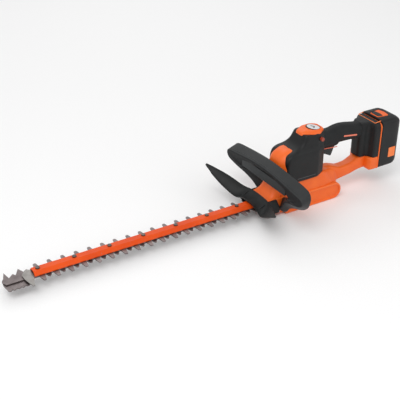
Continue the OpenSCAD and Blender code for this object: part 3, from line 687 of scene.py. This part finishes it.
collar = along_z("gear_collar", [
    (6, [(-39, -27, 8), (-39, 27, 8), (-10, 26, 3), (-10, -26, 3)]),
    (13, [(-42.4, -34, 5), (-42.4, 34, 5), (-10, 34.5, 3), (-10, -34.5, 3)]),
    (44, [(-42.4, -34, 5), (-42.4, 34, 5), (-10, 34.5, 3), (-10, -34.5, 3)]),
    (46.5, [(-42, -33, 6), (-42, 33, 6), (-10, 34, 3), (-10, -34, 3)]),
], orange_abs, 2)
fit(collar, "housing", "orange_shell")
apron = along_z("neck_apron", [
    (39.8, [(-64, -33, 3), (-64, 33, 3), (-30, 33, 3), (-30, -33, 3)]),
    (43.5, [(-64, -33, 6), (-64, 33, 6), (-30, 33, 3), (-30, -33, 3)]),
    (46, [(-60, -32, 9), (-60, 32, 9), (-30, 33, 3), (-30, -33, 3)]),
    (51, [(-53, -28, 12), (-53, 28, 12), (-30, 33, 3), (-30, -33, 3)]),
    (59, [(-47, -24, 13), (-47, 24, 13), (-30, 32, 3), (-30, -32, 3)]),
    (68, [(-43.5, -20, 13), (-43.5, 20, 13), (-30, 29, 3), (-30, -29, 3)]),
    (78, [(-41.5, -18, 12), (-41.5, 18, 12), (-30, 27, 3), (-30, -27, 3)]),
], orange_abs, 4)
fit(apron, "housing", "orange_shell")

# %% [markdown]
# On each flank a D-shaped pod covers the gear reduction. It stands proud of the
# housing with a ledge on top and a sunk panel inside its border.

# %% Side pods


def d_shape(x0, x1, z0, z1, r_tail, r_nose, d=0.0):
    return [(x0 + d, z0 + d, max(r_nose - d, 0.5)), (x1 - d, z0 + d, max(r_tail - d, 1)),
            (x1 - d, z1 - d, max(r_tail - d, 1)), (x0 + d, z1 - d, max(r_nose - d, 0.5))]


def pod(name, hand):
    """Rings that step out from the flank, over the rim and down into the panel."""
    steps = [(26, 0.0), (35.6, 0.0), (37.4, 0.4), (38.2, 1.4), (38.2, 3.8), (37.4, 4.6), (36.2, 4.9),
             (35.8, 5.6),
             (35.9, 9), (36.3, 17)]
    rings = [[(p.x, hand * y, p.y) for p in rounded(d_shape(-15, 146.5, 0.3, 42, 19.5, 4, d), 8, 8)]
             for y, d in steps]
    return skin(name, rings, orange_abs)


fit(pod("left_pod", 1), "housing", "orange_shell")
fit(pod("right_pod", -1), "housing", "orange_shell")

# %% [markdown]
# The arm behind the housing carries the load back to the battery foot. It is slim,
# a little waisted and rises as it goes, then swells into the foot block.

# %% Rear arm and foot
arm = along_x("rear_arm", [
    (104, box_ring(20, 22, 77, 10, 12, 5)),
    (118, box_ring(18.5, 25.5, 76.5, 10, 11, 4)),
    (132, box_ring(17.5, 29, 75, 10, 10, 3)),
    (142, box_ring(17, 31, 71.5, 9, 9, 2)),
    (151, box_ring(16.8, 32, 68, 8, 8, 1.5)),
    (160, box_ring(16.8, 33, 64.6, 8, 8, 1.5)),
    (174, box_ring(16.8, 35, 64, 8, 8, 1.5)),
    (190, box_ring(16.8, 37, 66, 8, 8, 1.5)),
    (204, box_ring(17.2, 41, 71, 8, 8, 1)),
    (214, box_ring(17.6, 43.5, 75.5, 8, 8, 1)),
    (224, box_ring(18, 45, 79.5, 8, 7, 0)),
    (240, box_ring(19, 46, 80, 8, 6, 0)),
], orange_abs, 5)
fit(arm, "housing", "orange_shell", "left_rear_arm", "right_rear_arm")
foot = along_x("battery_foot", [
    (229, box_ring(30, 52, 79, 6, 4)),
    (232, box_ring(35.5, 48, 79, 6, 4)),
    (235, box_ring(37.5, 46.4, 79.5, 5, 4)),
    (246, box_ring(38, 46, 79.5, 5, 4)),
    (256, box_ring(38, 46, 79.5, 5, 4)),
    (258, box_ring(37.4, 46.6, 79.3, 5, 4)),
], orange_abs, 3)
fit(foot, "housing", "orange_shell")

# %% [markdown]
# The nose is the orange neck in front of the motor. Level sections follow its
# rounded prow up to the crown, where it closes in a soft dome.

# %% Nose


def nose_ring(x0, x1, half, prow, r):
    return [(x1, -half, 2), (x1, half, 2), (x0 + 14, half, r), (x0, prow, r), (x0, -prow, r),
            (x0 + 14, -half, r)]


nose = along_z("nose", [
    (73.5, nose_ring(-41, 4, 34.5, 15, 12)),
    (84, nose_ring(-37.5, 4, 35, 16, 13)),
    (96, nose_ring(-34, 2, 35, 18, 14)),
    (108, nose_ring(-31, -4, 35, 19, 15)),
    (118, nose_ring(-28.5, -5, 35, 19, 15)),
    (128, nose_ring(-25.5, 0, 34.5, 18, 15)),
    (136, nose_ring(-21, 4, 33, 17, 15)),
    (142, nose_ring(-15, 6, 30.5, 15, 14)),
    (146.5, nose_ring(-8, 8, 27, 13, 12)),
    (149, nose_ring(0, 9, 22, 10, 9)),
], orange_abs, 4, dome=1.0)
fit(nose, "housing", "orange_shell", "left_nose", "right_nose")

# %% [markdown]
# The motor cover is the tall black shell. Its flanks stay upright to the shoulder,
# then lean in under the cap; its front edge laps over the orange nose.

# %% Motor cover


def cover_ring(x0, half, tail, r, x1=97.0, front=9.0):
    return [(x0, -half, front), (x0, half, front), (72, half, r), (x1, tail, 9), (x1, -tail, 9),
            (72, -half, r)]


cover = along_z("motor_cover", [
    (74.2, cover_ring(-8, 35, 24, 18)),
    (76.5, cover_ring(-9, 36.5, 25, 20)),
    (84, cover_ring(-12, 37, 25.5, 20)),
    (98, cover_ring(-16.5, 37, 25.5, 20)),
    (112, cover_ring(-18, 37, 25.5, 20)),
    (126, cover_ring(-17.5, 37, 25.5, 20)),
    (136, cover_ring(-14.5, 36.8, 25.5, 20)),
    (142, cover_ring(-9.5, 36, 25.5, 20)),
    (146, cover_ring(-2, 34, 25, 19)),
    (148.3, cover_ring(6, 32, 25, 18)),
    (150.5, cover_ring(14, 31, 24.8, 17)),
    (154, cover_ring(22, 30, 24.5, 16)),
    (159, cover_ring(28.5, 29, 24.2, 15)),
    (165, cover_ring(33.2, 28.3, 23.8, 14)),
    (171, cover_ring(36.3, 27.6, 23.2, 13)),
    (175.5, cover_ring(38, 26.8, 22.5, 12)),
    (178.5, cover_ring(39.2, 25.8, 21.5, 12, 96.5)),
    (179.9, cover_ring(40, 24.6, 20.5, 11, 95.5)),
], black_nylon, 4)
fit(cover, "housing", "black_shell", "left_motor_cover", "right_motor_cover")

# %% [markdown]
# The top cap is an orange dome let into the cover. A round well at its back holds
# the silver button, whose face carries a plain raised chevron.

# %% Top cap and button


def egg(x0, x1, half, r):
    mid = (x0 + x1) / 2
    return [(x0, -half * 0.45, r), (x0, half * 0.45, r), (mid - 8, half, r * 2), (mid + 14, half, r * 2),
            (x1, half * 0.55, r), (x1, -half * 0.55, r), (mid + 14, -half, r * 2), (mid - 8, -half, r * 2)]


cap = along_z("top_cap", [
    (177, egg(36.5, 99, 25.2, 9)),
    (180, egg(37, 99, 25.2, 9)),
    (182.5, egg(39, 98.5, 24.2, 9)),
    (184.5, egg(43.5, 97, 21.6, 9)),
    (185.8, egg(50, 94, 17.2, 8)),
    (186.3, egg(57, 92, 12, 6)),
], orange_abs, 4, dome=0.2)
button_x, button_z = 77, 176.5   # foot of the button's tilted axis
button_top = 9.5                 # from there to its face, along the axis
well_radius, well_depth = 17.1, 30
well_middle = 20                 # from the foot to the middle of the cutter
cutter = bmesh.new()
bmesh.ops.create_cone(cutter, cap_ends=True, segments=64, radius1=well_radius * MM,
                      radius2=well_radius * MM,
                      depth=well_depth * MM)
well = finish_mesh("button_well", cutter, orange_abs)
tilt = math.radians(8)
well.rotation_euler = (0, tilt, 0)
well.location = ((button_x + well_middle * math.sin(tilt)) * MM, 0,
                 (button_z + well_middle * math.cos(tilt)) * MM)
cut = cap.modifiers.new("button well", "BOOLEAN")
cut.object, cut.solver = well, "EXACT"
bpy.context.view_layer.update()
cap.data = bpy.data.meshes.new_from_object(cap.evaluated_get(bpy.context.evaluated_depsgraph_get()))
cap.modifiers.clear()
bpy.data.objects.remove(well)
fit(cap, "housing", "orange_shell", "top_cap")
for name, finish, edge in (("button_bezel", black_nylon, 0.5), ("boost_button", silver_cap, 1.3)):
    nodes[name].data.materials.clear()
    nodes[name].data.materials.append(finish)
    soften(nodes[name], edge, 4)


def on_button(a, b, d):
    """A place on the button's tilted face, d millimetres above it."""
    h = button_top + d
    return (button_x + a * math.cos(tilt) + h * math.sin(tilt), b,
            button_z + h * math.cos(tilt) - a * math.sin(tilt))


chevron = [(-5, -6.5), (-1, -6.5), (4.5, 0), (-1, 6.5), (-5, 6.5), (0.5, 0)]
mark = slab("button_mark", chevron, lambda a, b, d: on_button(a, b, d - 0.1), 0.4, black_nylon, 0.1, 2)
fit(mark, "boost_button", "black_shell")

# %% [markdown]
# The rear grip sweeps back to the dock. Its section is an upright oval that dips
# behind the cap for the web of the thumb; the elastomer skin covers all of it.

# %% Rear grip


def grip_ring(half, low, high, r=15.0):
    return [(-half, low, r), (half, low, r), (half, high, r + 1), (-half, high, r + 1)]


grip = along_x("rear_grip", [
    (92, grip_ring(20.5, 128, 175.5, 12)),
    (98, grip_ring(19.8, 127, 175, 13)),
    (106, grip_ring(19, 126.5, 173.5)),
    (118, grip_ring(18.6, 126, 170)),
    (130, grip_ring(18.8, 125, 170.2)),
    (138, grip_ring(18.9, 124.5, 172)),
    (143, grip_ring(18.9, 126, 173)),
    (148, grip_ring(19, 130.5, 173.6)),
    (160, grip_ring(19, 131, 174.2)),
    (176, grip_ring(19, 130.5, 172.6)),
    (192, grip_ring(18.8, 129.5, 169.8)),
    (203, grip_ring(18.4, 128.5, 168)),
    (214, grip_ring(18, 128, 167)),
], soft_grip, 5)
fit(grip, "housing", "grip_rubber", "left_grip", "right_grip")

# %% [markdown]
# The slim inlays in the grip, the lock-off button, the trigger and the switch bar in
# the front handle keep their CAD shapes. They need soft edges and the right plastic.
# A fine red line on each side marks the seam above the trigger.

# %% Inlays, lock-off and trigger
# the lock-off takes the darker red, which paints in the shade it sits in
for name, finish, edge in (("grip_inlays", red_abs, 0.4), ("lock_off", dark_red, 0.8),
                           ("trigger", black_nylon, 1.2),
                           ("front_switch", black_nylon, 1.0)):
    nodes[name].data.materials.clear()
    nodes[name].data.materials.append(finish)
    soften(nodes[name], edge, 4)
line = [(97, 129.6), (120, 127.4), (141, 125.4), (141, 126.8), (120, 128.9), (97, 131.1)]
for hand in (1, -1):
    piece = slab("trigger_line_left" if hand > 0 else "trigger_line_right", line,
                 lambda a, b, d, h=hand: (a, h * (15.5 + d), b), 2.2, red_abs, 0.3, 2)
    fit(piece, "housing", "orange_shell")

# %% [markdown]
# The dock is the black post that holds the battery rails. It starts as slim as the
# grip and flares to the battery's width; an orange gasket frame closes its rear.

# %% Battery dock


def dock_ring(x0, half, rear, flare):
    """A half-round post in front that opens out to the battery's width behind."""
    return [(x0, -half, 17.5), (x0, half, 17.5), (232, half + 1, 9), (240, flare, 6),
            (rear, flare + 1, 1.5),
            (rear, -flare - 1, 1.5), (240, -flare, 6), (232, -half - 1, 9)]


dock = along_z("battery_dock", [
    (79, dock_ring(213.5, 17, 254.5, 36)),
    (80.5, dock_ring(211.6, 18, 255, 37.2)),
    (90, dock_ring(210.8, 18.2, 255, 37.5)),
    (120, dock_ring(210.4, 18.4, 255, 37.5)),
    (148, dock_ring(210.4, 18.4, 255, 37)),
    (158, dock_ring(210.6, 18.3, 255, 35.5)),
    (164, dock_ring(211.2, 18, 255, 33)),
    (167, dock_ring(212.6, 17, 254.6, 30.5)),
    (168, dock_ring(215, 15, 254, 28.5)),
], black_nylon, 4, dome=0.6)
fit(dock, "housing", "black_shell", "battery_dock")


def shoulder_outline(half, low, top, r_top, d=0.0):
    return rounded([(-half + d, low + d, 4), (half - d, low + d, 4), (half - d, top - d, r_top - d),
                    (-half + d, top - d, r_top - d)], 8, 6)


frame_piece = slab("dock_frame", shoulder_outline(39, 46.5, 166.5, 12), lambda a, b, d: (255 + d, a, b),
                   3.1,
                   orange_abs, 0.9, 3)
fit(frame_piece, "housing", "orange_shell", "dock_frame")
edge_path = [(257, 31, 170.5), (249, 30.8, 169.4), (242.5, 30.4, 168.4), (240.5, 29, 168),
             (240.2, 20, 168.4),
             (240, 0, 168.6), (240.2, -20, 168.4), (240.5, -29, 168), (242.5, -30.4, 168.4),
             (249, -30.8, 169.4),
             (257, -31, 170.5)]
fit(ribbon("dock_edge_line", edge_path, 1.7, orange_abs), "housing", "orange_shell")

# %% [markdown]
# The battery is a deep black case with an arched roof. Its rear corners are well
# rounded, so the shell shrinks a little at each end as it is lofted front to back.

# %% Battery


def pack_ring(d, low=46.0, top=172.5):
    return [(-40 + d, low + d, 9), (40 - d, low + d, 9), (40 - d, top - 3 - d, 11), (22, top - d, 14),
            (-22, top - d, 14), (-40 + d, top - 3 - d, 11)]


battery = along_x("battery_case", [
    (258.5, pack_ring(1.4)), (259.6, pack_ring(0.3)), (262, pack_ring(0)), (280, pack_ring(0)),
    (300, pack_ring(0.2)), (308, pack_ring(1.4, 46.5, 172)), (314, pack_ring(4, 48, 171.5)),
    (317.4, pack_ring(8, 50, 169.5)), (318.3, pack_ring(13, 52, 167))], black_nylon, 4)


def latch_outline(d=0.0):
    """A rounded trapezoid, wider at the back, seen from above."""
    return rounded([(262 + d, -14 + d, 4), (293 - d, -19 + d, 5), (297 - d, 0, 30), (293 - d, 19 - d, 5),
                    (262 + d, 14 - d, 4)], 6, 4)


pocket = slab("latch_pocket", latch_outline(-0.7), lambda a, b, d: (a, b, 165 + d), 14, black_nylon, 0)
cut = battery.modifiers.new("latch pocket", "BOOLEAN")
cut.object, cut.solver = pocket, "EXACT"
bpy.context.view_layer.update()
battery.data = bpy.data.meshes.new_from_object(battery.evaluated_get(bpy.context.evaluated_depsgraph_get()))
battery.modifiers.clear()
bpy.data.objects.remove(pocket)
fit(battery, "battery", "black_shell", "battery_case")
latch = slab("battery_latch", latch_outline(), lambda a, b, d: (a, b, 168.3 + d), 4.8, orange_abs, 1.4, 4)
fit(latch, "battery_latch", "orange_shell", "battery_latch")
pad = rounded([(264.5, -12.5, 3), (278, -15, 3), (280, 0, 10), (278, 15, 3), (264.5, 12.5, 3)], 5, 3)
fit(slab("latch_pad", pad, lambda a, b, d: (a, b, 172.9 + d), 0.8, black_nylon, 0.3, 2), "battery_latch",
    "black_shell")

# %% [markdown]
# Real tools carry a name plate and a battery label. Both are left out here: the flank
# has only a fine grey rule of pad-printed ink, and the battery one plain orange patch.

# %% Plain marks


def patch_outline(x0, x1, z0, z1, r):
    return rounded([(x0, z0, r), (x1, z0, r), (x1, z1, r), (x0, z1, r)], 6, 3)


cover_flank, pack_flank = 36.85, 39.8   # how far out the two printed flanks stand
for hand, side_name in ((-1, "right"), (1, "left")):
    rule = slab(f"flank_rule_{side_name}", patch_outline(14, 66, 82.6, 83.9, 0.5),
                lambda a, b, d, h=hand: (a, h * (cover_flank + d), b), 0.4, ink_grey, 0)
    fit(rule, "housing", "black_shell")
    patch = slab(f"pack_patch_{side_name}", patch_outline(285.5, 306.5, 70.5, 96, 2),
                 lambda a, b, d, h=hand: (a, h * (pack_flank + d), b), 0.45, orange_abs, 0)
    fit(patch, "battery", "orange_shell")
